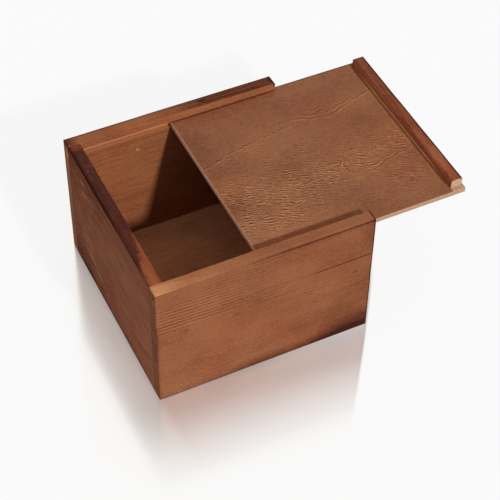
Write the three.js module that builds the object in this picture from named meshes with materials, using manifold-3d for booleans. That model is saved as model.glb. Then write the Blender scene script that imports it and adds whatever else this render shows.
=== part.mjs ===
// Sliding lid wooden box for papers and keepsakes, drawn with its lid part way open.
// Units are millimetres and +Z is up. The origin is the centre of the underside,
// the front wall is on the -Y side, and the lid slides out towards +X.

import * as THREE from 'three';
import { RoundedBoxGeometry } from 'three/addons/geometries/RoundedBoxGeometry.js';
import { mergeVertices } from 'three/addons/utils/BufferGeometryUtils.js';
import Module from 'manifold-3d';

const wasm = await Module();
wasm.setup();

// Case: two long walls run the full length and hold the two end walls between them
const caseLength = 200;
const caseWidth = 200;
const caseHeight = 134;
const longWallThickness = 11.5;
const endWallThickness = 11.5;
const caseEdgeRadius = 1.5;
// From the top edge down to the glue line between the front wall's two boards
const seamDrop = 41;

// Lid: a thin panel with a raised batten across its outer end
const lidThickness = 5;
const battenWidth = 11;
const battenEdgeRadius = 1;
// From the lid's outer edge in to the batten
const battenInset = 1.3;
// How far the closed lid stands out past the case
const lidOverhang = 1.6;
// How far the lid is drawn out of its closed place
const lidOpening = 90;

// Grooves that the lid runs in
const lipHeight = 8;
const sideGrooveDepth = 4.5;
const headGrooveDepth = 5;
// Clearance above and below the lid, beside it, at its inner end, and beside the batten
const lidPlay = 0.25;
const lidSidePlay = 0.5;
const lidHeadPlay = 0.3;
const battenPlay = 0.4;

// Base panel, let into a rabbet round the bottom of the walls
const baseThickness = 4;
const baseRabbetDepth = 5.5;
const basePlay = 0.3;

// Nails
const cornerNailLength = 30;
const baseNailLength = 16;
const battenPinLength = 10;
const nailShankRadius = 0.6;
const nailHeadRadius = 1.1;
const nailHeadThickness = 0.6;
const nailPointLength = 1.6;
// How far a head is punched below the face, and the space left round each nail
const nailSetDepth = 0.8;
const nailPlay = 0.3;
// Heights of the corner nails, as shares of the height below the lid
const cornerNailLevelShares = [0.15, 0.5, 0.85];
// Places of the base nails and the batten pins, as shares of the half length they follow
const baseNailShares = [-0.6, 0.6];
const battenPinShares = [-0.75, 0, 0.75];

// How far a cutting shape runs past the face that it opens
const overrun = 5;
const roundSegments = 3;
const nailSegments = 8;

// Planes that the pieces share
const halfLength = caseLength / 2;
const halfWidth = caseWidth / 2;
const innerHalfLength = halfLength - endWallThickness;
const innerHalfWidth = halfWidth - longWallThickness;
const lipUnderside = caseHeight - lipHeight;
const lidTop = lipUnderside - lidPlay;
const lidUnderside = lidTop - lidThickness;
const grooveFloor = lidUnderside - lidPlay;
const grooveHead = -innerHalfLength - headGrooveDepth;
const grooveHalfWidth = innerHalfWidth + sideGrooveDepth;
const rabbetHalfLength = innerHalfLength + baseRabbetDepth;
const rabbetHalfWidth = innerHalfWidth + baseRabbetDepth;
const seamHeight = caseHeight - seamDrop;

// The closed lid's ends and side, and the batten's place on it
const lidHead = grooveHead + lidHeadPlay;
const lidTail = halfLength + lidOverhang;
const lidHalfWidth = grooveHalfWidth - lidSidePlay;
const battenTail = lidTail - battenInset;
const battenHead = battenTail - battenWidth;
const battenHalfWidth = innerHalfWidth - battenPlay;

// Finishes
function finish(color, roughness, metalness = 0) {
  return new THREE.MeshStandardMaterial({ color, roughness, metalness, flatShading: true });
}

const stainedWood = finish(0x965c3e, 0.6);
const darkStainedWood = finish(0x6f4530, 0.65);
const stainedPlywood = finish(0x8c583a, 0.5);
const battenWood = finish(0x8a4c30, 0.55);
const basePlywood = finish(0xc09a6e, 0.8);
const steel = finish(0x9a9ca0, 0.4, 1);

// A block between two planes along each axis
function block([x0, x1], [y0, y1], [z0, z1]) {
  const geometry = new THREE.BoxGeometry(x1 - x0, y1 - y0, z1 - z0);
  return geometry.translate((x0 + x1) / 2, (y0 + y1) / 2, (z0 + z1) / 2);
}

// The closed solid that a geometry bounds
function solid(geometry) {
  const bare = geometry.clone();
  bare.deleteAttribute('normal');
  bare.deleteAttribute('uv');
  const merged = mergeVertices(bare);
  return new wasm.Manifold(new wasm.Mesh({
    numProp: 3,
    vertProperties: new Float32Array(merged.attributes.position.array),
    triVerts: new Uint32Array(merged.index.array),
  }));
}

// A named piece made from a solid
function piece(name, shape, material) {
  const { vertProperties, triVerts } = shape.getMesh();
  const geometry = new THREE.BufferGeometry();
  geometry.setAttribute('position', new THREE.BufferAttribute(vertProperties, 3));
  geometry.setIndex(new THREE.BufferAttribute(triVerts, 1));
  geometry.computeVertexNormals();
  const mesh = new THREE.Mesh(geometry, material);
  mesh.name = name;
  return mesh;
}

// A nail's head is at the origin of its own frame and its point is down its -Y axis
function nailGeometry(length, play, headRise) {
  const shank = nailShankRadius + play;
  const head = nailHeadRadius + play;
  const underHead = -nailHeadThickness - play;
  const profile = [
    new THREE.Vector2(0, -length - play),
    new THREE.Vector2(shank, nailPointLength - length - play),
    new THREE.Vector2(shank, underHead),
    new THREE.Vector2(head, underHead),
    new THREE.Vector2(head, headRise),
    new THREE.Vector2(0, headRise),
  ];
  return new THREE.LatheGeometry(profile, nailSegments);
}

// A nail with its head at a place, turned about X from pointing along -Y
function nail(name, length, [x, y, z], turn) {
  const mesh = new THREE.Mesh(nailGeometry(length, 0, 0), steel);
  mesh.name = name;
  mesh.position.set(x, y, z);
  mesh.rotation.x = turn;
  mesh.userData.length = length;
  return mesh;
}

// The hole that a nail stands in, open at the face that the nail was driven through
function nailHole(mesh) {
  mesh.updateMatrix();
  const geometry = nailGeometry(mesh.userData.length, nailPlay, nailSetDepth + overrun);
  return solid(geometry.applyMatrix4(mesh.matrix));
}

function withHoles(shape, nails) {
  return nails.reduce((cut, mesh) => cut.subtract(nailHole(mesh)), shape);
}

// Corner nails run through each long wall into the end grain of the end walls
function cornerNails() {
  const nails = [];
  const ends = { left: -1, right: 1 };
  const sides = { front: -1, back: 1 };
  for (const [end, endSign] of Object.entries(ends)) {
    for (const [side, sideSign] of Object.entries(sides)) {
      cornerNailLevelShares.forEach((share, index) => {
        const place = [
          endSign * (halfLength - endWallThickness / 2),
          sideSign * (halfWidth - nailSetDepth),
          share * grooveFloor,
        ];
        const turn = sideSign > 0 ? 0 : Math.PI;
        nails.push(nail(`${side}_${end}_corner_nail_${index + 1}`, cornerNailLength, place, turn));
      });
    }
  }
  return nails;
}

// Base nails run up through the base panel into the wall above it
function baseNails() {
  const nails = [];
  const besideLongWall = innerHalfWidth + baseRabbetDepth / 2;
  const besideEndWall = innerHalfLength + baseRabbetDepth / 2;
  baseNailShares.forEach((share, index) => {
    const places = {
      front: [share * innerHalfLength, -besideLongWall],
      back: [share * innerHalfLength, besideLongWall],
      left: [-besideEndWall, share * innerHalfWidth],
      right: [besideEndWall, share * innerHalfWidth],
    };
    for (const [side, [x, y]] of Object.entries(places)) {
      const place = [x, y, nailSetDepth];
      nails.push(nail(`${side}_base_nail_${index + 1}`, baseNailLength, place, -Math.PI / 2));
    }
  });
  return nails;
}

// Batten pins run up through the lid panel into the batten
function battenPins() {
  return battenPinShares.map((share, index) => {
    const place = [(battenHead + battenTail) / 2, share * battenHalfWidth, lidUnderside + nailSetDepth];
    return nail(`batten_pin_${index + 1}`, battenPinLength, place, -Math.PI / 2);
  });
}

// The outside of the whole case, with its edges eased, which trims every wall
function caseEnvelope() {
  const geometry = new RoundedBoxGeometry(caseLength, caseWidth, caseHeight, roundSegments, caseEdgeRadius);
  return solid(geometry.translate(0, 0, caseHeight / 2));
}

// The room that the lid sweeps in the walls, from its head groove out past the right end
function lidRun() {
  const along = [grooveHead, halfLength + overrun];
  return solid(block(along, [-grooveHalfWidth, grooveHalfWidth], [grooveFloor, lipUnderside]));
}

// The rabbet that the base panel fills
function baseRabbet() {
  const along = [-rabbetHalfLength, rabbetHalfLength];
  return solid(block(along, [-rabbetHalfWidth, rabbetHalfWidth], [-overrun, baseThickness]));
}

function wallBoard(name, along, across, up, nails, material = stainedWood) {
  const board = solid(block(along, across, up))
    .intersect(caseEnvelope())
    .subtract(lidRun())
    .subtract(baseRabbet());
  return piece(name, withHoles(board, nails), material);
}

function walls(nails) {
  const fullLength = [-halfLength, halfLength];
  const between = [-innerHalfWidth, innerHalfWidth];
  const front = [-halfWidth, -innerHalfWidth];
  const back = [innerHalfWidth, halfWidth];
  const left = [-halfLength, -innerHalfLength];
  const right = [innerHalfLength, halfLength];
  const fullHeight = [0, caseHeight];
  return [
    wallBoard('front_wall_upper_board', fullLength, front, [seamHeight, caseHeight], nails),
    wallBoard('front_wall_lower_board', fullLength, front, [0, seamHeight], nails),
    wallBoard('back_wall', fullLength, back, fullHeight, nails),
    wallBoard('left_end_wall', left, between, fullHeight, nails, darkStainedWood),
    // The lid slides out over the right end wall, so it stops at the groove's floor
    wallBoard('right_end_wall', right, between, [0, grooveFloor], nails),
  ];
}

function basePanel(nails) {
  const along = [basePlay - rabbetHalfLength, rabbetHalfLength - basePlay];
  const across = [basePlay - rabbetHalfWidth, rabbetHalfWidth - basePlay];
  const panel = solid(block(along, across, [0, baseThickness]));
  return piece('base_panel', withHoles(panel, nails), basePlywood);
}

function lidPanel(pins) {
  const panel = solid(block([lidHead, lidTail], [-lidHalfWidth, lidHalfWidth], [lidUnderside, lidTop]));
  return piece('lid_panel', withHoles(panel, pins), stainedPlywood);
}

// The batten's top is level with the case, and its upper edges are eased
function lidBatten(pins) {
  const battenLength = 2 * battenHalfWidth;
  const doubledHeight = 2 * (caseHeight - lidTop);
  const eased = new RoundedBoxGeometry(
    battenWidth, battenLength, doubledHeight, roundSegments, battenEdgeRadius);
  eased.translate((battenHead + battenTail) / 2, 0, lidTop);
  const above = block([battenHead, battenTail], [-battenHalfWidth, battenHalfWidth], [lidTop, caseHeight]);
  return piece('lid_batten', withHoles(solid(eased).intersect(solid(above)), pins), battenWood);
}

function boxCase() {
  const group = new THREE.Group();
  const corners = cornerNails();
  const bottoms = baseNails();
  group.add(...walls([...corners, ...bottoms]), basePanel(bottoms), ...corners, ...bottoms);
  return group;
}

// The lid is drawn in its closed place and then slid out
function lid() {
  const group = new THREE.Group();
  const pins = battenPins();
  group.add(lidPanel(pins), lidBatten(pins), ...pins);
  group.position.x = lidOpening;
  return group;
}

const box = new THREE.Group();
box.add(boxCase(), lid());

export default box;
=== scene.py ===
"""Finish of the sliding lid wooden box: eased and stained boards, a crinkled lid, floor, light and camera.

Sizes are millimetres in the row frame, +X the way the lid slides out, +Y to the back wall, +Z up.
They become metres when a mesh is made.
"""

import math

import bpy
import numpy as np
from mathutils import Euler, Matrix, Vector


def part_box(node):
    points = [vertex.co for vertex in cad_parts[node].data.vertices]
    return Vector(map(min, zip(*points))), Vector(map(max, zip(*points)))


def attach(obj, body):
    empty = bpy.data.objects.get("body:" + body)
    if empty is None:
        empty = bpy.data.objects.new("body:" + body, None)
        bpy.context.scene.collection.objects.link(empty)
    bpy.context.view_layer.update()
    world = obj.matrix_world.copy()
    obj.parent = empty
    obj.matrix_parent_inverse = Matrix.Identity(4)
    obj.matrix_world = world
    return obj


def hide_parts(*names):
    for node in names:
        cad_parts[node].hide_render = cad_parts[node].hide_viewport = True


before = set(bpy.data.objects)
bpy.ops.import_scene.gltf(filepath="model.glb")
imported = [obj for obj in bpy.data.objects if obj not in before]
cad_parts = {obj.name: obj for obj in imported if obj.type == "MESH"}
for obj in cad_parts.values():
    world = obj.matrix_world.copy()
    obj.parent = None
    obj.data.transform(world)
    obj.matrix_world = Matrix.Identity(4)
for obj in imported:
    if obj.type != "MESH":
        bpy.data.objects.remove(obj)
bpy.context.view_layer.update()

MM = 0.001
AXES = "xyz"

# Camera: where it stands, which way it looks in degrees, and its focal length and sensor
CAMERA_PLACE = (-384.6, -835.4, 1037.1)
CAMERA_AZIMUTH = -26.574
CAMERA_ELEVATION = 47.17
CAMERA_ROLL = 1.023
CAMERA_LENS = 109.36
CAMERA_SENSOR = 36

# Light: the lamp's azimuth (0 stands before the front wall, 90 at the right end) and elevation in degrees,
# its softness in degrees and its strength, and how strong the world's fill and backdrop are
KEY_AZIMUTH = 10.3
KEY_ELEVATION = 33
KEY_SOFTNESS = 4
KEY_STRENGTH = 2.5
FILL_STRENGTH = 0.5
BACKDROP_LEVEL = 0.957

# Floor: half its side in metres, its paleness to bounced light, its paleness and glow to the eye, and the
# share of it that takes shadow
FLOOR_HALF = 4
BOUNCE_PALENESS = 0.5
FLOOR_PALENESS = 0.9
FLOOR_GLOW = 0.972
SHADOW_SHARE = 0.1

# The floor's faint mirror: its strength, the reach and power of its fall, its blur and its tint
MIRROR_SHARE = 0.7
MIRROR_REACH = 60
MIRROR_FADE = 1.9
MIRROR_BLUR = 0.15
MIRROR_TINT = (1, 0.97, 0.945)
# It is weaker and ends sooner before the left side, and is weaker at the front wall's foot near its right end
LEFT_SIDE_SHARE = 0.8
LEFT_SIDE_FADE = 1.2
RIGHT_FOOT_LOSS = 0.38
# It ends at lines across the floor through two corners, given by their angles from +X in degrees
RIGHT_LINE_ANGLES = (56.6, 54.7)
RIGHT_LINE_FADE = 45
LEFT_LINE_ANGLE = 73.1
LEFT_LINE_FADE = 12

# Edge radii: outer edges, the case's foot, the left wall's outer top edge, crisp edges, inner edges, edges at
# a joint, the glue line's edges and the lid's edges
OUTER_EASE = 1.4
FOOT_EASE = 0.5
LEFT_TOP_EASE = 1.7
CRISP_EASE = 0.6
INNER_EASE = 0.5
JOINT_EASE = 0.22
SEAM_EASE = 0.16
LID_EASE = 0.45
# How much a radius varies along its edge, and over what length
EASE_WOBBLE = 0.22
WOBBLE_LENGTH = 17
# A dark rim reaches in by this many radii and this much more
RIM_REACH = 1.5
RIM_MARGIN = 0.3
# Lattice lines over an eased edge, in shares of its radius, and how close two lines may lie
EASE_SHARES = np.array([0, 0.25, 0.5, 0.75, 1, 1.25])
CLOSEST_LINES = 0.04
# How far a cut runs past a board, and the angle from which an edge is drawn sharp
OVERRUN = 5
SHARP_ANGLE = 28

# Lattice steps of the meshes, how far down the front wall the finer ones reach, and the width of the strip
# at the lid's back edge that has none
FRONT_STEP = 2.2
FRONT_FINE_STEP = 0.62
FRONT_FINE_REACH = 54
WALL_STEP = 2.6
BATTEN_STEP = 1.6
LID_STEPS = (0.9, 1, 5)
LID_FINE_STEP = 0.5
LID_PLAIN_STRIP = 36

# Depth of the head groove, play round the base panel, and how far a sanded face lies in from its plane
HEAD_GROOVE_DEPTH = 5
RABBET_PLAY = 0.3
SANDED = 0.12


def node_box(name):
    low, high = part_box(name)
    return np.array(low) / MM, np.array(high) / MM


# Planes of the case and the lid, read from the frame
case_low = np.min([node_box(n)[0] for n in ("front_wall_lower_board", "left_end_wall")], axis=0)
case_high = np.max([node_box(n)[1] for n in ("back_wall", "front_wall_upper_board")], axis=0)
left, front = case_low[:2]
right, back, top = case_high
back_inner = node_box("back_wall")[0][1]
lid_low, lid_high = node_box("lid_panel")
batten_low, batten_high = node_box("lid_batten")
right_low, right_high = node_box("right_end_wall")
left_low, left_high = node_box("left_end_wall")
base_low, base_high = node_box("base_panel")
groove_floor = right_high[2]
lid_play = lid_low[2] - groove_floor
lip_underside = lid_high[2] + lid_play
groove_half_width = lid_high[1] + 2 * lid_play
groove_head = left_high[0] - HEAD_GROOVE_DEPTH


# Smooth noise

def noise_field(u, v, seed):
    """Smooth noise from -1 to 1 at points of a unit lattice."""
    table = np.random.default_rng(seed).uniform(-1, 1, (256, 256))
    i, j = np.floor(u).astype(int), np.floor(v).astype(int)
    s, t = u - i, v - j
    s, t = s * s * (3 - 2 * s), t * t * (3 - 2 * t)
    i, j, i1, j1 = i & 255, j & 255, (i + 1) & 255, (j + 1) & 255
    near = table[i, j] * (1 - s) + table[i1, j] * s
    far = table[i, j1] * (1 - s) + table[i1, j1] * s
    return near * (1 - t) + far * t


def blob(u, v, centre, radii, turn):
    """A soft spot, 1 at its centre."""
    angle = math.radians(turn)
    du, dv = u - centre[0], v - centre[1]
    along = (du * math.cos(angle) + dv * math.sin(angle)) / radii[0]
    across = (dv * math.cos(angle) - du * math.sin(angle)) / radii[1]
    return np.exp(-(along ** 2 + across ** 2))


def rise(value, start, end):
    """Smooth step from 0 at start to 1 at end."""
    share = np.clip((value - start) / (end - start), 0, 1)
    return share * share * (3 - 2 * share)


# Meshes

def lines(low, high, step, radii, finer):
    """Lattice lines from low to high: step apart, closer over the eased edges and the finer stretches."""
    marks = [np.linspace(low, high, max(2, round((high - low) / step) + 1))]
    for start, end, fine in finer:
        marks.append(np.linspace(start, end, round((end - start) / fine) + 1))
    for radius in radii:
        marks += [low + radius * EASE_SHARES, high - radius * EASE_SHARES]
    kept = [low]
    for mark in np.sort(np.concatenate(marks)):
        if kept[-1] + CLOSEST_LINES < mark < high - CLOSEST_LINES:
            kept.append(mark)
    return np.array(kept + [high])


def lattice(xs, ys, zs):
    """Points and outward quads of a block's surface on three sets of lines."""
    shell = np.ones((len(xs), len(ys), len(zs)), bool)
    shell[1:-1, 1:-1, 1:-1] = False
    ids = np.zeros(shell.shape, int)
    ids[shell] = np.arange(shell.sum())
    points = np.stack(np.meshgrid(xs, ys, zs, indexing="ij"), -1)[shell]
    faces = []
    for axis in range(3):
        for side in (0, -1):
            sheet = np.take(ids, side, axis)
            quads = np.stack([sheet[:-1, :-1], sheet[1:, :-1], sheet[1:, 1:], sheet[:-1, 1:]], -1)
            quads = quads.reshape(-1, 4)
            outward = (side == -1) != (axis == 1)
            faces.append(quads if outward else quads[:, ::-1])
    return points, np.concatenate(faces)


def plain_underside(points, faces, depth):
    """Puts a fan of triangles in place of the many quads on a block's flat underside."""
    low = points[:, 2].min()
    under = np.all(points[faces][:, :, 2] < low + depth, axis=1)
    edges = {}
    for quad in faces[under]:
        for a, b in zip(quad, np.roll(quad, -1)):
            if (b, a) in edges:
                del edges[(b, a)]
            else:
                edges[(a, b)] = True
    centre = len(points)
    middle = (points.min(axis=0) + points.max(axis=0)) / 2
    kept = [list(quad) for quad in faces[~under]] + [[a, b, centre] for a, b in edges]
    used = sorted({i for face in kept for i in face if i != centre})
    place = {old: new for new, old in enumerate(used)}
    place[centre] = len(used)
    points = np.vstack([points[used], [middle[0], middle[1], low]])
    return points, [[int(place[i]) for i in face] for face in kept]


def ease_edge(points, rim, low, high, edge, radius, dark):
    """Rounds one edge of a block, named by its two sides such as "-y+z", and notes how dark its rim is."""
    sides = [(AXES.index(edge[1]), edge[0]), (AXES.index(edge[3]), edge[2])]
    along = 3 - sides[0][0] - sides[1][0]
    run = points[:, along] / WOBBLE_LENGTH
    wobble = noise_field(run, np.full(len(points), sides[0][0] + 3 * sides[1][0]), 5)
    radii = radius * (1 + EASE_WOBBLE * wobble)
    inward = [high[axis] - points[:, axis] if sign == "+" else points[:, axis] - low[axis]
              for axis, sign in sides]
    reach = 1 - np.clip(np.hypot(*inward) / (RIM_REACH * radii + RIM_MARGIN), 0, 1)
    darkness = dark(points) if callable(dark) else dark
    np.maximum(rim, darkness * np.sqrt(reach), out=rim)
    near = (inward[0] < radii) & (inward[1] < radii)
    out = [radii[near] - distance[near] for distance in inward]
    shrink = np.minimum(1, radii[near] / np.maximum(np.hypot(*out), 1e-6))
    for (axis, sign), offset in zip(sides, out):
        move = offset * (1 - shrink)
        points[near, axis] -= move if sign == "+" else -move


def block_mesh(name, low, high, eases, rims, step, finer=None, relief=None, flat_below=False):
    """A board as one closed mesh with eased edges.

    relief(points) gives the axis and side of a face, how far it lies in from its plane, how high each point
    stands on it, and how crinkled it is there. A flat underside is made of few faces.
    """
    finer = finer or {}
    radii = sorted({round(r, 3) for r in eases.values()})
    steps = step if isinstance(step, tuple) else (step,) * 3
    sets = [lines(low[a], high[a], steps[a], radii, finer.get(AXES[a], ())) for a in range(3)]
    points, faces = lattice(*sets)
    if flat_below:
        points, faces = plain_underside(points, faces, CLOSEST_LINES)
    else:
        faces = faces.tolist()
    rim, heights, crinkle = np.zeros((3, len(points)))
    if relief:
        axis, side, sunk, raised, crinkled = relief(points)
        face = high[axis] if side > 0 else low[axis]
        on = np.abs(points[:, axis] - face) < CLOSEST_LINES / 2
        heights[on], crinkle[on] = raised[on], crinkled[on]
        points[on, axis] += side * np.minimum(heights[on] - sunk, 0 if sunk else lid_play)
    for edge, radius in eases.items():
        ease_edge(points, rim, low, high, edge, radius, rims.get(edge, 0))
    mesh = bpy.data.meshes.new(name)
    mesh.from_pydata((points * MM).tolist(), [], faces)
    for key, values in (("rim", rim), ("relief", heights), ("crinkle", crinkle)):
        mesh.attributes.new(key, "FLOAT", "POINT").data.foreach_set("value", values.astype(np.float32))
    piece = bpy.data.objects.new(name, mesh)
    bpy.context.scene.collection.objects.link(piece)
    return piece


def carve(piece, cuts):
    """Cuts plain blocks, given by their corners, out of a piece."""
    tools = []
    for low, high in cuts:
        points, faces = lattice(*[np.array([low[a], high[a]]) for a in range(3)])
        mesh = bpy.data.meshes.new("tool")
        mesh.from_pydata((points * MM).tolist(), [], faces.tolist())
        tool = bpy.data.objects.new("tool", mesh)
        bpy.context.scene.collection.objects.link(tool)
        cut = piece.modifiers.new("cut", "BOOLEAN")
        cut.operation = "DIFFERENCE"
        cut.solver = "EXACT"
        cut.object = tool
        tools.append(tool)
    shaped = piece.evaluated_get(bpy.context.evaluated_depsgraph_get())
    mesh = bpy.data.meshes.new_from_object(shaped)
    piece.modifiers.clear()
    piece.data = mesh
    for tool in tools:
        bpy.data.objects.remove(tool)


def set_material(piece, material):
    piece.data.materials.clear()
    piece.data.materials.append(material)


def finish_piece(piece, node, body, material):
    """Shades a piece, and says what it rides on, what it replaces and what it is made of."""
    piece.data.shade_smooth()
    piece.data.set_sharp_from_angle(angle=math.radians(SHARP_ANGLE))
    set_material(piece, material)
    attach(piece, body)
    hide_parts(node)


# Node materials

class Nodes:
    """Builds a node tree. Numbers and sockets are both taken as inputs."""

    def __init__(self, tree):
        self.tree = tree
        tree.nodes.clear()

    def node(self, kind, inputs=None, **settings):
        made = self.tree.nodes.new(kind)
        for key, value in settings.items():
            setattr(made, key, value)
        for key, value in (inputs or {}).items():
            if isinstance(value, bpy.types.NodeSocket):
                self.tree.links.new(value, made.inputs[key])
            else:
                made.inputs[key].default_value = value
        return made

    def math(self, operation, *values, clamp=False):
        inputs = dict(enumerate(values))
        return self.node("ShaderNodeMath", inputs, operation=operation, use_clamp=clamp).outputs[0]

    def times(self, first, second, clamp=False):
        return self.math("MULTIPLY", first, second, clamp=clamp)

    def total(self, *values):
        result = values[0]
        for value in values[1:]:
            result = self.math("ADD", result, value)
        return result

    def weighted(self, *pairs):
        """Sum of values, each times its weight."""
        return self.total(*[self.times(value, weight) for value, weight in pairs])

    def rest(self, share):
        """What a share leaves of 1."""
        return self.total(1.0, self.times(share, -1))


class Shader(Nodes):
    """Builds one material, with its places in millimetres."""

    def __init__(self, name):
        self.material = bpy.data.materials.new(name)
        self.material.use_nodes = True
        super().__init__(self.material.node_tree)
        coordinates = self.node("ShaderNodeTexCoord")
        self.place = self.vector("SCALE", coordinates.outputs["Object"], Scale=1 / MM)
        self.normal = coordinates.outputs["Normal"]

    def vector(self, operation, *values, **named):
        inputs = {**dict(enumerate(values)), **named}
        made = self.node("ShaderNodeVectorMath", inputs, operation=operation)
        return made.outputs["Value" if operation in ("LENGTH", "DOT_PRODUCT", "DISTANCE") else "Vector"]

    def part(self, axis):
        return self.node("ShaderNodeSeparateXYZ", {0: self.place}).outputs[AXES.index(axis)]

    def lean(self, axis):
        """How far the surface's normal points along an axis, from -1 to 1."""
        return self.node("ShaderNodeSeparateXYZ", {0: self.normal}).outputs[AXES.index(axis)]

    def facing(self, side, low=0.35, high=0.7):
        """1 where the surface looks to a side, such as "+z", and 0 where it turns away from it."""
        component = self.lean(side[1])
        if side[0] == "-":
            component = self.times(component, -1)
        return self.remap(component, low, high)

    def remap(self, value, low, high, to_low=0.0, to_high=1.0, smooth=True):
        inputs = {"Value": value, "From Min": low, "From Max": high, "To Min": to_low, "To Max": to_high}
        kind = "SMOOTHSTEP" if smooth else "LINEAR"
        return self.node("ShaderNodeMapRange", inputs, interpolation_type=kind).outputs[0]

    def within(self, axis, low, high, soft):
        """1 between two places along an axis and 0 beyond them, with soft ends."""
        place = self.part(axis)
        past_low = self.remap(place, low - soft, low + soft)
        return self.times(past_low, self.remap(place, high - soft, high + soft, 1, 0))

    def noise(self, sizes, detail=3, roughness=0.5, shift=0.0, turn=0):
        """Noise about -1 to 1 whose features have these sizes along X, Y and Z, turned about Z by degrees."""
        place = self.place
        if turn:
            inputs = {"Vector": place, "Angle": math.radians(turn)}
            place = self.node("ShaderNodeVectorRotate", inputs, rotation_type="Z_AXIS").outputs[0]
        spread = self.vector("MULTIPLY", place, tuple(1 / size for size in sizes))
        moved = self.vector("ADD", spread, (shift, shift * 1.7, shift * 0.6))
        inputs = {"Vector": moved, "Scale": 1.0, "Detail": detail, "Roughness": roughness}
        made = self.node("ShaderNodeTexNoise", inputs, noise_dimensions="3D")
        return self.remap(made.outputs[0], 0.25, 0.75, -1, 1, smooth=False)

    def spot(self, centre, radii, turn=(0, 0, 0)):
        """A soft spot, 1 at its centre and 0 at its radii, turned by angles in degrees."""
        inputs = {"Vector": self.vector("SUBTRACT", self.place, tuple(centre)),
                  "Rotation": tuple(-math.radians(a) for a in turn)}
        turned = self.node("ShaderNodeVectorRotate", inputs, rotation_type="EULER_XYZ").outputs[0]
        reach = self.vector("LENGTH", self.vector("DIVIDE", turned, tuple(radii)))
        return self.remap(reach, 0, 1, 1, 0)

    def attribute(self, name):
        return self.node("ShaderNodeAttribute", attribute_name=name).outputs["Fac"]

    def mix(self, share, first, second, blend="MIX"):
        inputs = {0: share, 6: first, 7: second}
        return self.node("ShaderNodeMix", inputs, data_type="RGBA", blend_type=blend).outputs[2]

    def multiplied(self, share, colour, tint):
        """A colour times a tint, over a share of the surface."""
        return self.mix(share, colour, self.mix(1.0, colour, srgb(*tint), "MULTIPLY"))

    def ramp(self, value, stops):
        made = self.node("ShaderNodeValToRGB", {0: value})
        elements = made.color_ramp.elements
        while len(elements) < len(stops):
            elements.new(0.5)
        for element, (place, colour) in zip(elements, stops):
            element.position = place
            element.color = colour
        return made.outputs[0]

    def surface(self, colour, roughness, height, depth, metallic=0.0, specular=0.5):
        bump = self.node("ShaderNodeBump", {"Height": height, "Distance": depth * MM, "Strength": 1.0})
        inputs = {"Base Color": colour, "Roughness": roughness, "Metallic": metallic,
                  "Specular IOR Level": specular, "Normal": bump.outputs[0]}
        shader = self.node("ShaderNodeBsdfPrincipled", inputs)
        self.node("ShaderNodeOutputMaterial", {"Surface": shader.outputs[0]})
        return self.material


def srgb(red, green, blue):
    """A colour given by its 0 to 255 screen values."""
    linear = [((c / 255 + 0.055) / 1.055) ** 2.4 if c > 10.3 else c / 255 / 12.92 for c in (red, green, blue)]
    return (*linear, 1.0)


# Growth rings: their width, how far off their pith lies, how much it moves from board to board, how far they
# bend, and their width in the batten's ends
RING_WIDTH = 3.6
PITH_DISTANCE = 150
PITH_MOVE = 40
RING_BEND = 6
BATTEN_RING_WIDTH = 2.4
# Depth of the wood's grain and of the scratches in steel
GRAIN_DEPTH = 0.16
SCRATCH_DEPTH = 0.02


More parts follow.
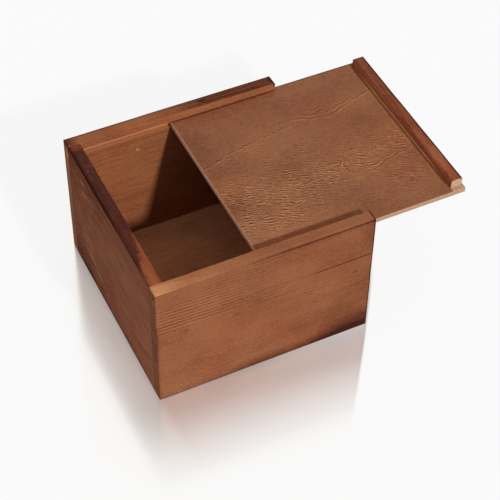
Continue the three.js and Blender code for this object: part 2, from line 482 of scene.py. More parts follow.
class Wood(Shader):
    """Brown stained wood with its grain along an axis. Its tone is 0.5 where the colour is the middle one."""

    def __init__(self, name, axis, mid, shift=0.0, streaks=1.0, rings=0.3):
        super().__init__(name)
        self.axis, self.mid, self.shift = axis, mid, shift
        self.fine = self.grain(20, 0.9, 4, shift)
        self.fibres = self.grain(38, 1.7, 4, shift + 1.7)
        bands = self.grain(120, 8, 2, shift + 3)
        clouds = self.noise((34, 34, 34), 3, 0.5, shift + 9)
        stipple = self.grain(2.2, 1.2, 2, shift + 15)
        pores = self.remap(self.grain(5, 0.75, 2, shift + 11), 0.4, 0.95)
        # Growth rings about a far pith line, bent by slow noise
        bend = self.grain(150, 60, 2, shift + 5)
        pith = tuple(0 if a == axis else PITH_DISTANCE + PITH_MOVE * shift for a in AXES)
        flat = tuple(0 if a == axis else 1 for a in AXES)
        offset = self.vector("MULTIPLY", self.vector("ADD", self.place, pith), flat)
        reach = self.total(self.vector("LENGTH", offset), self.times(bend, RING_BEND))
        wave = self.math("SINE", self.times(reach, 2 * math.pi / RING_WIDTH))
        patches = self.remap(self.grain(80, 28, 2, shift + 7), -0.1, 0.7)
        growth = self.times(self.times(wave, patches), rings)
        self.height = self.weighted((self.fine, 0.4), (self.fibres, 0.4 * streaks), (growth, 0.6),
                                    (pores, -0.5), (stipple, 0.4))
        shades = self.weighted((self.fine, 0.05 * streaks), (self.fibres, 0.09 * streaks),
                               (bands, 0.06 * streaks), (clouds, 0.075), (stipple, 0.11), (growth, 0.35),
                               (pores, -0.07), (self.attribute("rim"), -0.85))
        self.tone = self.total(shades, 0.5)

    def grain(self, along, across, detail, shift):
        sizes = tuple(along if name == self.axis else across for name in AXES)
        return self.noise(sizes, detail, 0.6, shift)

    def shade(self, value, strength):
        """Lightens the wood by a value's strength, or darkens it where the strength is below zero."""
        self.tone = self.total(self.tone, self.times(value, strength))

    def stained(self):
        """The stain's colour at the wood's tone, redder in some patches."""
        r, g, b = self.mid
        stops = [(0.0, srgb(r * 0.44, g * 0.34, b * 0.36)), (0.25, srgb(r * 0.76, g * 0.69, b * 0.68)),
                 (0.5, srgb(r, g, b)), (0.75, srgb(r * 1.13, g * 1.18, b * 1.18)),
                 (1.0, srgb(min(250, r * 1.3), min(235, g * 1.46), min(220, b * 1.52)))]
        colour = self.ramp(self.tone, stops)
        redder = self.remap(self.noise((55, 55, 55), 2, 0.5, self.shift + 13), -0.3, 0.8)
        return self.multiplied(redder, colour, (255, 243, 240))

    def bare(self, pale, dark, share, colour):
        """Bare wood over the share of the surface that took no stain."""
        grain = self.noise((1.6, 1.6, 0.9), 3, 0.6, self.shift + 2)
        tone = self.total(self.weighted((grain, 0.32), (self.attribute("rim"), -0.6)), 0.6)
        raw = self.ramp(tone, [(0.0, srgb(*dark)), (1.0, srgb(*pale))])
        return self.mix(share, colour, raw)

    def done(self, colour, specular=0.05, dull=0.6, extra_height=None):
        roughness = self.total(self.weighted((self.fibres, 0.06), (self.fine, 0.04)), dull)
        height = self.height if extra_height is None else self.total(self.height, extra_height)
        return self.surface(colour, roughness, height, GRAIN_DEPTH, specular=specular)


# Boards

RIDGE_START = 14.3
RIDGE_STEP = 3.6
RIDGE_SPREAD = 0.022
RIDGE_SINK = 0.05


def stripe_relief(points):
    """Raised grain on the front wall's outer face: ridges towards its left end, wider apart further down."""
    x, z = points[:, 0], points[:, 2]
    along, down = x - left, top - z
    place = down - RIDGE_SINK * along - RIDGE_START + 0.45 * noise_field(x / 22, z / 30, 3)
    root = RIDGE_STEP ** 2 + 4 * RIDGE_SPREAD * place
    count = (np.sqrt(np.maximum(root, 0.2)) - RIDGE_STEP) / (2 * RIDGE_SPREAD)
    # Strong ridges across the glue line run out at 92 mm, and faint ones near the top at 150 mm
    strong = rise(down, 13, 24) * (1 - rise(down, 48.5, 51.5)) * (1 - rise(along, 45, 92))
    faint = 0.32 * rise(down, 3, 7) * (1 - rise(down, 18, 30)) * (1 - rise(along, 95, 150))
    broken = 0.85 + 0.3 * noise_field(x / 16, z / 2.2, 4)
    ridges = -0.12 * np.cos(2 * math.pi * count) * np.maximum(strong, faint) * broken
    ridges *= np.clip(along / 3, 0, 1)
    ridges += 0.02 * noise_field(x / 38, z / 15, 8)
    return 1, -1, SANDED, np.clip(ridges, -SANDED, SANDED), np.zeros(len(points))


def plain_relief(axis, side, seed):
    """Slow unevenness left by sanding on one face."""
    def relief(points):
        first, second = [points[:, a] for a in range(3) if a != axis]
        bumps = 0.03 * noise_field(first / 24, second / 24, seed)
        return axis, side, SANDED, bumps, np.zeros(len(points))
    return relief


lid_run = ((groove_head, -groove_half_width, groove_floor),
           (case_high[0] + OVERRUN, groove_half_width, lip_underside))
base_rabbet = (base_low - (RABBET_PLAY, RABBET_PLAY, OVERRUN), base_high + (RABBET_PLAY, RABBET_PLAY, 0))


def seam_dark(points):
    """The glue line shows in the right quarter of the front and is all but filled elsewhere."""
    return 0.1 + 0.75 * rise(points[:, 0] - left, 138, 152)


def front_top_dark(points):
    """The front wall's outer top edge is dark from its middle to its right end."""
    return 0.04 + 0.16 * rise(points[:, 0] - left, 60, 110)


def left_top_dark(points):
    """The left wall's outer top edge is dark, less so towards the front."""
    return 0.12 + 0.38 * rise(points[:, 1], -40, 20)


def make_front_wall(material):
    outer = {"-x-y": OUTER_EASE, "+x-y": 1.0, "-x+y": JOINT_EASE, "+x+y": JOINT_EASE}
    upper_eases = {"-y+z": 1.0, "+y+z": INNER_EASE, "-x+z": OUTER_EASE, "+x+z": 1.0,
                   "-y-z": SEAM_EASE, **outer}
    lower_eases = {"-y-z": FOOT_EASE, "+y-z": JOINT_EASE, "-x-z": FOOT_EASE, "+x-z": 1.0,
                   "-y+z": SEAM_EASE, **outer}
    upper_rims = {"+x-y": 0.6, "-y-z": seam_dark, "+x+z": 0.9, "-y+z": front_top_dark}
    lower_rims = {"+x-y": 0.6, "-y+z": seam_dark, "-y-z": 0.8, "-x-z": 0.8, "-x-y": 0.15}
    for node, eases, rims, cuts in (("front_wall_upper_board", upper_eases, upper_rims, [lid_run]),
                                    ("front_wall_lower_board", lower_eases, lower_rims, [base_rabbet])):
        low, high = node_box(node)
        finer = {"z": [(max(top - FRONT_FINE_REACH, low[2]), high[2], FRONT_FINE_STEP)]}
        piece = block_mesh(node + "_stained", low, high, eases, rims, FRONT_STEP, finer, stripe_relief)
        carve(piece, cuts)
        finish_piece(piece, node, "case", material)


def make_back_wall(material):
    low, high = node_box("back_wall")
    eases = {"+y+z": 1.0, "-y+z": INNER_EASE, "-x+z": CRISP_EASE, "+x+z": 1.6,
             "+y-z": OUTER_EASE, "-y-z": JOINT_EASE, "-x-z": OUTER_EASE, "+x-z": OUTER_EASE,
             "-x+y": CRISP_EASE, "+x+y": 1.2, "-x-y": JOINT_EASE, "+x-y": JOINT_EASE}
    rims = {"+y+z": 0.9, "+x+z": 1.25, "-x+z": 0.8, "-x+y": 0.7, "+x+y": 0.9, "+y-z": 0.4, "-x-y": 0.6}
    relief = plain_relief(1, 1, 21)
    piece = block_mesh("back_wall_stained", low, high, eases, rims, WALL_STEP, relief=relief)
    carve(piece, [lid_run, base_rabbet])
    finish_piece(piece, "back_wall", "case", material)


def make_left_wall(material):
    eases = {"-x+z": LEFT_TOP_EASE, "+x+z": INNER_EASE, "-x-z": FOOT_EASE, "+x-z": JOINT_EASE,
             "-x-y": JOINT_EASE, "-x+y": JOINT_EASE, "-y+z": JOINT_EASE, "+y+z": JOINT_EASE}
    rims = {"-x+z": left_top_dark, "-x-z": 0.8, "-x+y": 0.8, "-x-y": 0.6, "+y+z": 0.8}
    relief = plain_relief(0, -1, 31)
    piece = block_mesh("left_end_wall_stained", left_low, left_high, eases, rims, WALL_STEP, relief=relief)
    carve(piece, [lid_run, base_rabbet])
    finish_piece(piece, "left_end_wall", "case", material)


def make_right_wall(material):
    eases = {"+x+z": 0.8, "-x+z": INNER_EASE, "+x-z": OUTER_EASE, "-x-z": JOINT_EASE,
             "+x-y": JOINT_EASE, "+x+y": JOINT_EASE}
    rims = {"+x+z": 0.6, "+x-z": 0.5, "+x-y": 0.5, "+x+y": 0.5}
    relief = plain_relief(0, 1, 41)
    piece = block_mesh("right_end_wall_stained", right_low, right_high, eases, rims, WALL_STEP, relief=relief)
    carve(piece, [base_rabbet])
    finish_piece(piece, "right_end_wall", "case", material)


# Lid, in millimetres along it from its inner end (u) and from its back edge to its front edge (v)

# The wrinkles run at this angle to the lid, in two waves of these lengths, this high
RIPPLE_TURN = 25
FOLD_LENGTH = 2.8
WRINKLE_LENGTH = 2.6
WRINKLE_HEIGHT = 0.17
# How deep and how high the veneer's relief may go
RELIEF_RANGE = (-0.45, 0.24)

# Crinkled places: centre, radii, turn and strength
CRINKLES = [
    ((46, 128), (56, 26), -6, 1.1),
    ((16, 112), (20, 16), 0, 0.5),
    ((24, 154), (40, 18), 0, 0.55),
    ((152, 114), (36, 14), -8, 0.85),
    ((172, 100), (18, 11), 0, 0.5),
    ((98, 112), (36, 13), -6, 0.55),
    ((52, 60), (40, 6), -12, 0.5),
    ((122, 46), (36, 6), -4, 0.5),
    ((155, 148), (40, 24), 0, 0.4),
    ((80, 84), (44, 16), 0, 0.25),
]

# Creases: route, width and depth
CREASES = [
    ([(0, 71), (14, 67), (30, 62), (50, 58), (74, 55.5), (98, 51)], 0.7, 0.08),
    ([(104, 47), (111, 51), (120, 53), (131, 54), (143, 51.5), (156, 46.5), (170, 42), (184, 38.5)],
     0.6, 0.13),
    ([(108, 43), (114, 46), (122, 48.5), (133, 49), (146, 46.5), (158, 43)], 0.6, 0.12),
    ([(114, 39.5), (122, 43), (132, 44.5), (144, 42.5)], 0.55, 0.08),
    ([(128, 131.5), (138, 131), (150, 127), (163, 123.5), (178, 121)], 0.55, 0.12),
    ([(132, 127.5), (142, 126.5), (153, 122.5), (166, 119.5), (176, 116)], 0.5, 0.08),
    ([(114, 114.5), (112.3, 118), (112.8, 122.5), (115.5, 128)], 0.5, 0.22),
]


def crease(u, v, route, width):
    """A furrow along a route, with a raised lip on its front side."""
    best = np.full(u.shape, 1e9)
    side = np.zeros(u.shape)
    for (u0, v0), (u1, v1) in zip(route, route[1:]):
        du, dv = u1 - u0, v1 - v0
        length = math.hypot(du, dv)
        share = np.clip(((u - u0) * du + (v - v0) * dv) / length ** 2, 0, 1)
        gap = np.hypot(u - u0 - share * du, v - v0 - share * dv)
        nearer = gap < best
        best = np.where(nearer, gap, best)
        side = np.where(nearer, ((v - v0) * du - (u - u0) * dv) / length, side)
    away = np.copysign(best, side)
    return np.exp(-((away - 1.7 * width) / width) ** 2) * 0.9 - np.exp(-(away / width) ** 2)


def lid_relief(points):
    """Wrinkles and creases of the lid's veneer, faded out at its edges."""
    x, y = points[:, 0], points[:, 1]
    u, v = x - lid_low[0], lid_high[1] - y
    turn = math.radians(RIPPLE_TURN)
    drift = 1.6 * noise_field(u / 11, v / 11, 12) + 1.1 * noise_field(u / 4, v / 4, 13)
    along = u * math.cos(turn) + v * math.sin(turn)
    across = v * math.cos(turn) - u * math.sin(turn) + drift
    folds = np.sin(2 * math.pi * across / FOLD_LENGTH)
    folds *= np.clip(0.75 + 1.5 * noise_field(along / 5, across / 4, 14), 0.1, 1.3)
    wrinkles = np.sin(2 * math.pi * (across - 0.2 * along) / WRINKLE_LENGTH)
    wrinkles *= np.clip(0.6 + 1.8 * noise_field(along / 3 + 40, across / 3, 15), 0, 1.3)
    strength = 0.06 + sum(power * blob(u, v, *place) for *place, power in CRINKLES)
    strength = np.clip(strength * (1 + 0.6 * noise_field(u / 8, v / 8, 16)), 0.02, 1.2)
    heights = WRINKLE_HEIGHT * strength * (folds + 0.6 * wrinkles)
    shift_u, shift_v = 1.1 * noise_field(u / 5, v / 5, 18), 1.1 * noise_field(u / 5, v / 5, 19)
    for route, width, depth in CREASES:
        broken = 0.9 + 0.6 * noise_field(u / 4, v / 4, 17)
        heights += 1.4 * depth * broken * crease(u + shift_u, v + shift_v, route, width)
    heights += 0.03 * noise_field(u / 26, v / 26, 18)
    inset = np.minimum.reduce([u, lid_high[0] - x, v, y - lid_low[1]])
    fade = np.clip(inset / 1.5, 0, 1)
    return 2, 1, 0, np.clip(heights, *RELIEF_RANGE) * fade, strength


def make_lid(material):
    edges = ("+x+z", "+x-z", "-x+z", "-x-z", "-y+z", "+y+z", "-y-z", "+y-z", "+x-y", "+x+y")
    eases = dict.fromkeys(edges, LID_EASE)
    rims = {"+y+z": 0.9, "+x+z": 0.4, "-x+z": 0.0}
    finer = {"y": [(lid_low[1], lid_high[1] - LID_PLAIN_STRIP, LID_FINE_STEP)]}
    piece = block_mesh("lid_panel_veneered", lid_low, lid_high, eases, rims, LID_STEPS, finer, lid_relief,
                       flat_below=True)
    finish_piece(piece, "lid_panel", "lid", material)


def make_batten(material):
    eases = {"-x+z": 1.7, "+x+z": 1.2, "-y+z": 0.3, "+y+z": 0.5,
             "-x-y": 0.4, "+x-y": 0.4, "-x+y": 0.4, "+x+y": 0.4}
    rims = {"+x+z": 1.0, "+y+z": 0.9, "-x+z": 0.1, "-y+z": 0.1}
    piece = block_mesh("lid_batten_stained", batten_low, batten_high, eases, rims, BATTEN_STEP)
    finish_piece(piece, "lid_batten", "lid", material)


# Marks and stain of each board

def front_wood():
    s = Wood("front_wall_wood", "x", (142, 88, 60), streaks=0.5, rings=0.2)
    s.shade(s.attribute("relief"), 1.9)
    # Three knots, a streak, the dark right end of the foot, the foot and the right side
    marks = ((26, 55, (3.9, 6, 2.6), -0.17), (72, 57.6, (5.1, 6, 3.4), -0.17),
             (184, 57, (3.9, 6, 2.6), -0.17), (112, 53, (44, 6, 0.9), -0.2),
             (196, 136, (74, 9, 34), -0.55), (120, 137, (150, 9, 17), -0.36),
             (165, 100, (80, 9, 60), -0.08), (200, 20, (18, 9, 40), -0.1))
    for along, down, radii, tone in marks:
        s.shade(s.spot((left + along, front, top - down), radii), tone)
    # Short pale flecks low on the left
    flecks = s.remap(s.noise((4.5, 2, 1.3), 2, 0.6, 21), 0.25, 0.8)
    s.shade(s.times(flecks, s.spot((left + 40, front, top - 108), (80, 20, 40))), 0.3)
    # The right half has a painted highlight line inside its outer top edge and a dark line below it
    right_half = s.remap(s.part("x"), left + 70, left + 120)
    painted_highlight = s.times(s.within("y", front + 1.4, front + 2.8, 0.4), s.facing("+z", 0.8, 0.98))
    s.shade(s.times(painted_highlight, right_half), 0.12)
    for deep, tone in ((2.6, -0.2), (9, -0.12)):
        dark_line = s.times(s.remap(s.part("z"), top - deep, top - 0.5), s.facing("-y", 0.6, 0.9))
        s.shade(s.times(dark_line, right_half), tone)
    # Painted light makes the top paler, the more so at its left; the wall's left end is a little deeper
    on_top = s.facing("+z", 0.6, 0.9)
    s.shade(on_top, 0.085)
    s.shade(s.times(on_top, s.spot((left + 40, front, top), (80, 30, 4))), 0.2)
    s.shade(s.facing("-x", 0.6, 0.9), -0.04)
    # Painted highlights on the end grain of the near left corner
    for down, size, tone in ((13, 9, 0.35), (59, 5, 0.3), (92, 7, 0.15)):
        s.shade(s.spot((left, front + 4, top - down), (3, 3, size)), tone)
    # Dark ends of the grain at that corner
    for deep, down, size in ((3, 0.6, 1.6), (6.4, 0.4, 1.3), (9.4, 0.8, 1.5), (2.2, 5, 1.4), (4.6, 8.4, 1.2)):
        s.shade(s.spot((left + 0.4, front + deep, top - down), (2.2, size, size * 1.5)), -0.7)
    # The near left corner of the top took little stain
    corner = s.times(s.spot((left - 2, front + 3, top), (36, 26, 5)), s.facing("+z", 0.1, 0.5))
    streaked = s.total(s.times(s.fibres, 0.5), 0.75)
    colour = s.mix(s.times(corner, streaked, clamp=True), s.stained(), srgb(214, 150, 100))
    return s.done(colour, specular=0.02, dull=0.66)


def back_wood():
    s = Wood("back_wall_wood", "x", (148, 90, 58), shift=1.3, streaks=0.8, rings=0.2)
    # A pale chip high on the inner face
    s.shade(s.spot((left + 64, back_inner, top - 28), (1.9, 3, 1.6)), 2.2)
    # A knot and streaks in the top, and its two dark ends
    marks = ((130, 5, (6, 3, 4), -0.28), (145, 8, (60, 1.3, 3), -0.2), (150, 4.6, (46, 1, 3), -0.16),
             (84, 3.2, (60, 0.9, 3), -0.12), (60, 7.4, (50, 1.2, 3), 0.1), (168, 6.4, (34, 0.9, 3), 0.14),
             (201, 4, (5, 14, 9), -0.45), (1, 5, (13, 14, 8), -0.4))
    for along, depth, radii, tone in marks:
        s.shade(s.spot((left + along, back - depth, top), radii), tone)
    s.shade(s.times(s.facing("+z", 0.6, 0.9), s.remap(s.part("x"), -30, 40)), -0.33)
    # The lip's lower edge is pale where it is free and dark along the lid
    edge = s.times(s.within("z", lip_underside - 0.2, lip_underside + 1, 0.3), s.facing("-y", 0.3, 0.6))
    free = s.remap(s.part("x"), lid_low[0] - 3, lid_low[0] - 1, 1, 0)
    s.shade(s.times(edge, free), 0.5)
    s.shade(s.times(edge, s.rest(free)), -0.25)
    # A dark line runs below the groove; painted light makes the groove's inside pale
    line = s.within("z", groove_floor - 3.6, groove_floor - 2.4, 0.5)
    s.shade(s.times(line, s.facing("-y", 0.6, 0.9)), -0.14)
    groove = s.times(s.within("z", groove_floor - 0.4, lip_underside - 0.2, 0.2),
                     s.within("y", back_inner + 0.3, back - 6, 0.3))
    return s.done(s.mix(s.times(groove, 0.6), s.stained(), srgb(206, 138, 94)))


def left_wood():
    # Its middle colour is painted lighter, to make up for the shade on its outer face
    s = Wood("left_wall_wood", "y", (152, 95, 70), shift=2.1)
    outside, on_top = s.facing("-x"), s.facing("+z", 0.25, 0.6)
    # The outer face darkens to its top and its back, and has pale and dark streaks
    s.shade(s.times(s.remap(s.part("z"), top - 50, top), outside), -0.16)
    s.shade(s.times(s.remap(s.part("y"), front, back, 0.1, -0.08), outside), 1)
    for length, width, shift, tone in ((24, 1.3, 41, 0.18), (18, 1.6, 47, -0.14)):
        streaks = s.remap(s.grain(length, width, 3, shift), 0.05, 0.5)
        s.shade(s.times(streaks, outside), tone)
    scuffs = ((42, 16, 7, 3.6, 0.6), (43, 29, 7, 2.6, 0.6), (155, 96, 14, 1.4, 0.4), (160, 64, 12, 1.4, 0.3),
              (118, 88, 22, 1.2, 0.2), (132, 100, 26, 1.2, -0.2), (90, 70, 40, 2, 0.14),
              (120, 50, 30, 2.4, -0.14), (176, 40, 10, 3, 0.16), (150, 120, 40, 1.2, 0.16))
    scratches = ((45, 82, 18, 1.4, 2.4), (44, 89, 20, 1.3, 2.4), (50, 99, 16, 1.2, 2.4),
                 (54, 104, 14, 1.2, 2.4), (68, 109, 11, 1.3, 2.4))
    for marks, tilt in ((scuffs, 3), (scratches, 6)):
        for from_back, down, length, width, tone in marks:
            place = (left, back - from_back, top - down)
            s.shade(s.spot(place, (5, length, width), (tilt, 0, 0)), tone)
    # Its foot is dark
    s.shade(s.spot((left, back - 30, top - 126), (6, 60, 26)), -0.2)
    s.shade(s.spot((left, back - 110, top - 134), (6, 120, 10)), -0.2)
    # The top is a deep maroon, which gives way to the lighter colour near the front, first at the inner edge
    slant = s.total(s.part("y"), s.times(s.total(s.part("x"), -left_high[0]), -4),
                    s.times(s.noise((3, 6, 3), 2, 0.6, 33), 9))
    maroon_share = s.total(s.remap(slant, -44, -20), s.times(s.remap(s.part("y"), back - 22, back - 13), -0.45))
    # A mottle of painted highlights lies on the maroon
    mottle = s.times(s.remap(s.noise((3, 5, 3), 3, 0.6, 31), 0.1, 0.7),
                     s.spot((left + 5, back - 46, top), (12, 24, 6)))
    stops = [(0.0, srgb(46, 17, 12)), (0.5, srgb(78, 41, 33)), (1.0, srgb(128, 80, 66))]
    maroon = s.ramp(s.total(s.tone, s.times(mottle, 0.2)), stops)
    # The lit top is tinted darker, so that painted light stays on the outer face
    colour = s.multiplied(on_top, s.stained(), (247, 222, 200))
    colour = s.mix(s.times(maroon_share, on_top, clamp=True), colour, maroon)
    return s.done(colour, specular=0.01, dull=0.7)


def right_wood():
    s = Wood("right_wall_wood", "y", (142, 86, 58), shift=3.4)
    # A knot near the front, and the dark back end of the foot
    s.shade(s.spot((right, front + 60, top - 90), (6, 3.4, 2.6)), -0.4)
    s.shade(s.spot((right, back - 20, top - 132), (6, 70, 14)), -0.2)
    return s.done(s.stained())


def lid_wood():
    s = Wood("lid_wood", "x", (140, 88, 59), shift=4.2, streaks=0.35, rings=0)
    head, rear, face = lid_low[0], lid_high[1], lid_high[2]
    along_x, along_y = s.part("x"), s.part("y")
    # Painted highlight where the veneer stands up, painted shade where it sinks in, ripples where crinkled
    relief, crinkle = s.attribute("relief"), s.attribute("crinkle")
    ripple = s.times(crinkle, s.noise((6, 1.3, 6), 3, 0.6, 5, turn=RIPPLE_TURN))
    flecks = s.remap(s.noise((2.6, 0.9, 3), 2, 0.6, 8, turn=RIPPLE_TURN), 0.1, 0.5)
    mottle = s.noise((5, 5, 5), 3, 0.6, 11)
    s.shade(s.math("MAXIMUM", relief, 0.0), 2.5)
    s.shade(s.math("MINIMUM", relief, 0.0), 1.6)
    s.shade(ripple, 0.1)
    # The pale flecks, strongest where it is crinkled, are painted highlights
    s.shade(s.times(s.total(crinkle, 0.1), flecks), 0.3)
    s.shade(mottle, 0.06)
    # It is dark along the back lip, and so is its back edge outside the case
    by_lip = s.remap(along_y, back - 13.2, back - 11.8)
    s.shade(s.times(by_lip, s.remap(along_x, right, right - 2)), -0.35)
    back_edge = s.remap(along_y, rear - 1.5, rear - 0.6)
    s.shade(s.times(back_edge, s.remap(along_x, right, right + 1)), -0.6)
    # Uneven stain
    patches = (((4, 52), (24, 60), -0.12), ((6, 122), (18, 26), -0.2), ((60, 26), (80, 40), -0.08),
               ((45, 168), (70, 24), 0.12), ((152, 70), (38, 26), -0.06), ((150, 112), (18, 4), 0.15),
               ((158, 157), (4, 3), -0.25), ((180, 160), (22, 26), 0.06))
    for (u, v), radii, tone in patches:
        s.shade(s.spot((head + u, rear - v, face), (*radii, 6)), tone)
    # The lid has a pale strip inside the batten and a dark one outside it
    inside = s.within("x", batten_low[0] - 4.5, batten_low[0] - 1, 1.2)
    s.shade(s.times(inside, s.total(s.times(mottle, 0.6), 0.7)), 0.14)
    outside = s.remap(along_x, batten_high[0] - 0.4, batten_high[0] + 0.2)
    s.shade(s.times(outside, s.facing("+z")), -0.35)
    # Bare wood: the sides, the worn edge of the inner end and a patch before the batten's near end
    sides = s.remap(s.math("ABSOLUTE", s.lean("z")), 0.35, 0.75, 1, 0)
    worn = s.remap(s.total(along_x, s.times(s.fine, 0.3)), head + 0.2, head + 0.7, 1, 0)
    patch = s.times(s.remap(along_x, batten_low[0] - 0.6, batten_low[0] + 0.6),
                    s.remap(along_y, batten_low[1] - 0.3, batten_low[1] + 0.3, 1, 0))
    patch = s.times(patch, s.facing("+z", 0.3, 0.6))
    bare = s.math("MAXIMUM", s.math("MAXIMUM", sides, patch), s.times(worn, 0.9))
    # Painted shadow of the front lip: the lid is darker and warmer in a band along it
    lip_shadow = s.times(s.within("y", front + 11, front + 24, 1.2), s.remap(along_x, right - 12, right - 10, 1, 0))
    stained = s.multiplied(s.times(lip_shadow, 0.75), s.stained(), (244, 208, 170))
    colour = s.bare((206, 164, 131), (142, 103, 78), bare, stained)
    # The lower plies are greyer, and the inner end is the palest: bare ply with painted light on it
    lower = s.times(s.remap(s.part("z"), lid_low[2] + 1.4, lid_low[2] + 2.6, 1, 0), sides)
    colour = s.mix(s.times(lower, 0.6), colour, srgb(156, 134, 118))
    end = s.ramp(s.total(s.times(s.fine, 0.3), 0.5), [(0, srgb(196, 144, 116)), (1, srgb(238, 186, 154))])
    colour = s.mix(s.facing("-x", 0.3, 0.6), colour, end)
    return s.done(colour, specular=0.12, dull=0.5, extra_height=s.times(ripple, 0.9))


def batten_stain():
    s = Wood("batten_wood", "y", (150, 84, 54), shift=5.6, streaks=1.3)
    along = s.part("y")
    # Its inner side is painted lighter, to make up for the shade it stands in
    s.shade(s.facing("-x", 0.5, 0.8), 0.12)
    # The top is darker and redder over its back two thirds, in patches
    dark = s.total(s.remap(along, -70, 30), s.times(s.noise((7, 16, 7), 3, 0.6, 3), 0.55))
    s.shade(s.times(dark, s.facing("+z", 0.5, 0.8), clamp=True), -0.22)
    # Its outer edge, partly dark stain and partly painted shade, and its back end are nearly black
    s.shade(s.remap(s.part("x"), batten_high[0] - 2, batten_high[0] - 0.9), -0.7)
    s.shade(s.remap(along, batten_high[1] - 1.9, batten_high[1] - 0.9), -0.6)
    # Its ends are bare and show growth rings
    ends = s.remap(s.math("ABSOLUTE", s.lean("y")), 0.5, 0.8)
    pith = (batten_low[0] - 4, batten_low[1], batten_low[2] - 14)
    wave = s.math("SINE", s.times(s.vector("DISTANCE", s.place, pith), 2 * math.pi / BATTEN_RING_WIDTH))
    colour = s.bare((216, 186, 160), (160, 122, 99), ends, s.stained())
    colour = s.mix(s.times(s.remap(wave, -1, 1, 0, 0.35), ends), colour, srgb(158, 116, 92))
    # Its inner side is pale along the middle of its foot
    level = s.total(s.part("z"), s.times(s.noise((9, 14, 9), 2, 0.6, 51), 0.8), -lid_high[2])
    middle = s.times(s.remap(along, -76, -46), s.remap(along, 84, 44))
    foot = s.times(s.remap(level, 1.9, 2.6, 1, 0), s.times(middle, s.facing("-x", 0.3, 0.6)))
    return s.done(s.mix(foot, colour, srgb(216, 160, 124)), specular=0.08, dull=0.54)


def base_wood():
    s = Wood("base_wood", "x", (212, 150, 108), shift=6.3, rings=0.15)
    return s.done(s.stained())


def steel():
    s = Shader("nail_steel")
    scratches = s.noise((0.4, 0.4, 0.4), 3, 0.6)
    stops = [(0.0, srgb(120, 120, 122)), (1.0, srgb(190, 192, 196))]
    colour = s.ramp(s.total(s.times(scratches, 0.3), 0.5), stops)
    roughness = s.total(s.times(scratches, 0.08), 0.38)
    return s.surface(colour, roughness, scratches, SCRATCH_DEPTH, metallic=1.0)


make_front_wall(front_wood())
make_back_wall(back_wood())
make_left_wall(left_wood())
make_right_wall(right_wood())
make_lid(lid_wood())
make_batten(batten_stain())

set_material(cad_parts["base_panel"], base_wood())
nail_steel = steel()
for node_name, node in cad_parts.items():
    if "_nail_" in node_name or "_pin_" in node_name:
        set_material(node, nail_steel)


# Stage

def seen_share(nodes):
    """1 for rays that see the stage itself, straight on or in a gloss, and 0 for those that light the box."""
    paths = nodes.node("ShaderNodeLightPath")
    either = nodes.math("MAXIMUM", paths.outputs["Is Camera Ray"], paths.outputs["Is Glossy Ray"])
    return nodes.math("MAXIMUM", either, paths.outputs["Is Transmission Ray"])


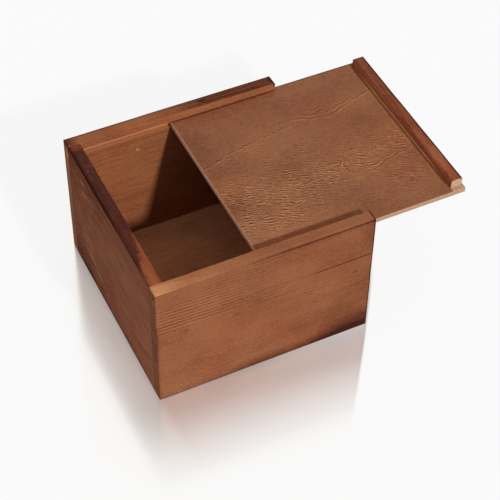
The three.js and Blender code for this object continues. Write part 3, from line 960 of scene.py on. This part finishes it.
def make_floor():
    mesh = bpy.data.meshes.new("floor")
    corners = [(x * FLOOR_HALF, y * FLOOR_HALF, 0) for x, y in ((-1, -1), (1, -1), (1, 1), (-1, 1))]
    mesh.from_pydata(corners, [], [(0, 1, 2, 3)])
    floor = bpy.data.objects.new("floor", mesh)
    bpy.context.scene.collection.objects.link(floor)
    s = Shader("pale_floor")
    bounce = s.node("ShaderNodeBsdfDiffuse", {"Color": (BOUNCE_PALENESS,) * 3 + (1,)})
    shadowed = s.node("ShaderNodeBsdfDiffuse", {"Color": (FLOOR_PALENESS,) * 3 + (1,)})
    gloss = s.node("ShaderNodeBsdfGlossy", {"Color": (*MIRROR_TINT, 1), "Roughness": MIRROR_BLUR})
    # The mirror is strongest at the box, fades with the distance from it and ends at the lines. Each of its
    # sides is a direction across the floor, a place where the fade starts and how fast it goes
    sides = [(-1, 0, left, 0, LEFT_SIDE_FADE), (0, -1, 0, front, 1), (0, 1, 0, back, 1)]
    ends = [(right, front, angle, 1, RIGHT_LINE_FADE) for angle in RIGHT_LINE_ANGLES]
    ends.append((left, back, LEFT_LINE_ANGLE, -1, LEFT_LINE_FADE))
    for x, y, angle, sign, fade in ends:
        run = math.radians(angle)
        sides.append((math.sin(run) * sign, -math.cos(run) * sign, x, y, fade))
    gaps = []
    for across_x, across_y, x, y, fade in sides:
        place = s.weighted((s.part("x"), across_x), (s.part("y"), across_y))
        gaps.append(s.times(s.math("MAXIMUM", s.total(place, -x * across_x - y * across_y), 0.0), fade))
    away = s.math("SQRT", s.total(*[s.math("POWER", gap, 2) for gap in gaps]))
    fall = s.math("POWER", s.times(away, 1 / MIRROR_REACH), MIRROR_FADE)
    near = s.math("EXPONENT", s.times(fall, -1))
    share = s.remap(s.part("x"), left - 6, left + 6, MIRROR_SHARE * LEFT_SIDE_SHARE, MIRROR_SHARE)
    # It loses strength close to the front wall's foot, the more so towards the right
    loss = s.times(s.remap(s.part("x"), -40, 80, 0, RIGHT_FOOT_LOSS, smooth=False),
                   s.remap(s.part("y"), front - 30, front - 2, smooth=False))
    mirror = s.times(s.times(near, share), s.rest(loss))
    # The floor's glow is painted a little warmer where it mirrors, a painted tint of the reflection
    pale = (FLOOR_GLOW,) * 3 + (1,)
    warm = tuple(FLOOR_GLOW * part ** 2 for part in MIRROR_TINT) + (1,)
    glow = s.node("ShaderNodeEmission", {"Color": s.mix(near, pale, warm), "Strength": 1.0})
    floor_share = s.node("ShaderNodeMixShader", {0: SHADOW_SHARE, 1: glow.outputs[0], 2: shadowed.outputs[0]})
    shine = s.node("ShaderNodeMixShader", {0: mirror, 1: floor_share.outputs[0], 2: gloss.outputs[0]})
    mixed = s.node("ShaderNodeMixShader", {0: seen_share(s), 1: bounce.outputs[0], 2: shine.outputs[0]})
    s.node("ShaderNodeOutputMaterial", {"Surface": mixed.outputs[0]})
    mesh.materials.append(s.material)


def make_world():
    world = bpy.data.worlds.new("studio")
    bpy.context.scene.world = world
    world.use_nodes = True
    nodes = Nodes(world.node_tree)
    white = (1, 1, 1, 1)
    fill = nodes.node("ShaderNodeBackground", {"Color": white, "Strength": FILL_STRENGTH})
    backdrop = nodes.node("ShaderNodeBackground", {"Color": white, "Strength": BACKDROP_LEVEL})
    inputs = {0: seen_share(nodes), 1: fill.outputs[0], 2: backdrop.outputs[0]}
    mixed = nodes.node("ShaderNodeMixShader", inputs)
    nodes.node("ShaderNodeOutputWorld", {"Surface": mixed.outputs[0]})


def direction(azimuth, elevation):
    """From the box towards something that stands at this azimuth and elevation, in degrees."""
    a, e = math.radians(azimuth), math.radians(elevation)
    return Vector((math.sin(a) * math.cos(e), -math.cos(a) * math.cos(e), math.sin(e)))


def make_key():
    lamp = bpy.data.lights.new("key", "SUN")
    lamp.energy = KEY_STRENGTH
    lamp.angle = math.radians(KEY_SOFTNESS)
    key = bpy.data.objects.new("key", lamp)
    key.rotation_mode = "QUATERNION"
    key.rotation_quaternion = direction(KEY_AZIMUTH, KEY_ELEVATION).to_track_quat("Z", "Y")
    bpy.context.scene.collection.objects.link(key)


def make_camera():
    data = bpy.data.cameras.new("camera")
    data.lens = CAMERA_LENS
    data.sensor_width = CAMERA_SENSOR
    camera = bpy.data.objects.new("camera", data)
    camera.rotation_mode = "QUATERNION"
    aim = (-direction(CAMERA_AZIMUTH, CAMERA_ELEVATION)).to_track_quat("-Z", "Y")
    camera.rotation_quaternion = aim @ Euler((0, 0, math.radians(CAMERA_ROLL))).to_quaternion()
    camera.location = Vector(CAMERA_PLACE) * MM
    bpy.context.scene.collection.objects.link(camera)
    bpy.context.scene.camera = camera


make_floor()
make_world()
make_key()
make_camera()
bpy.context.scene.view_settings.view_transform = "Standard"
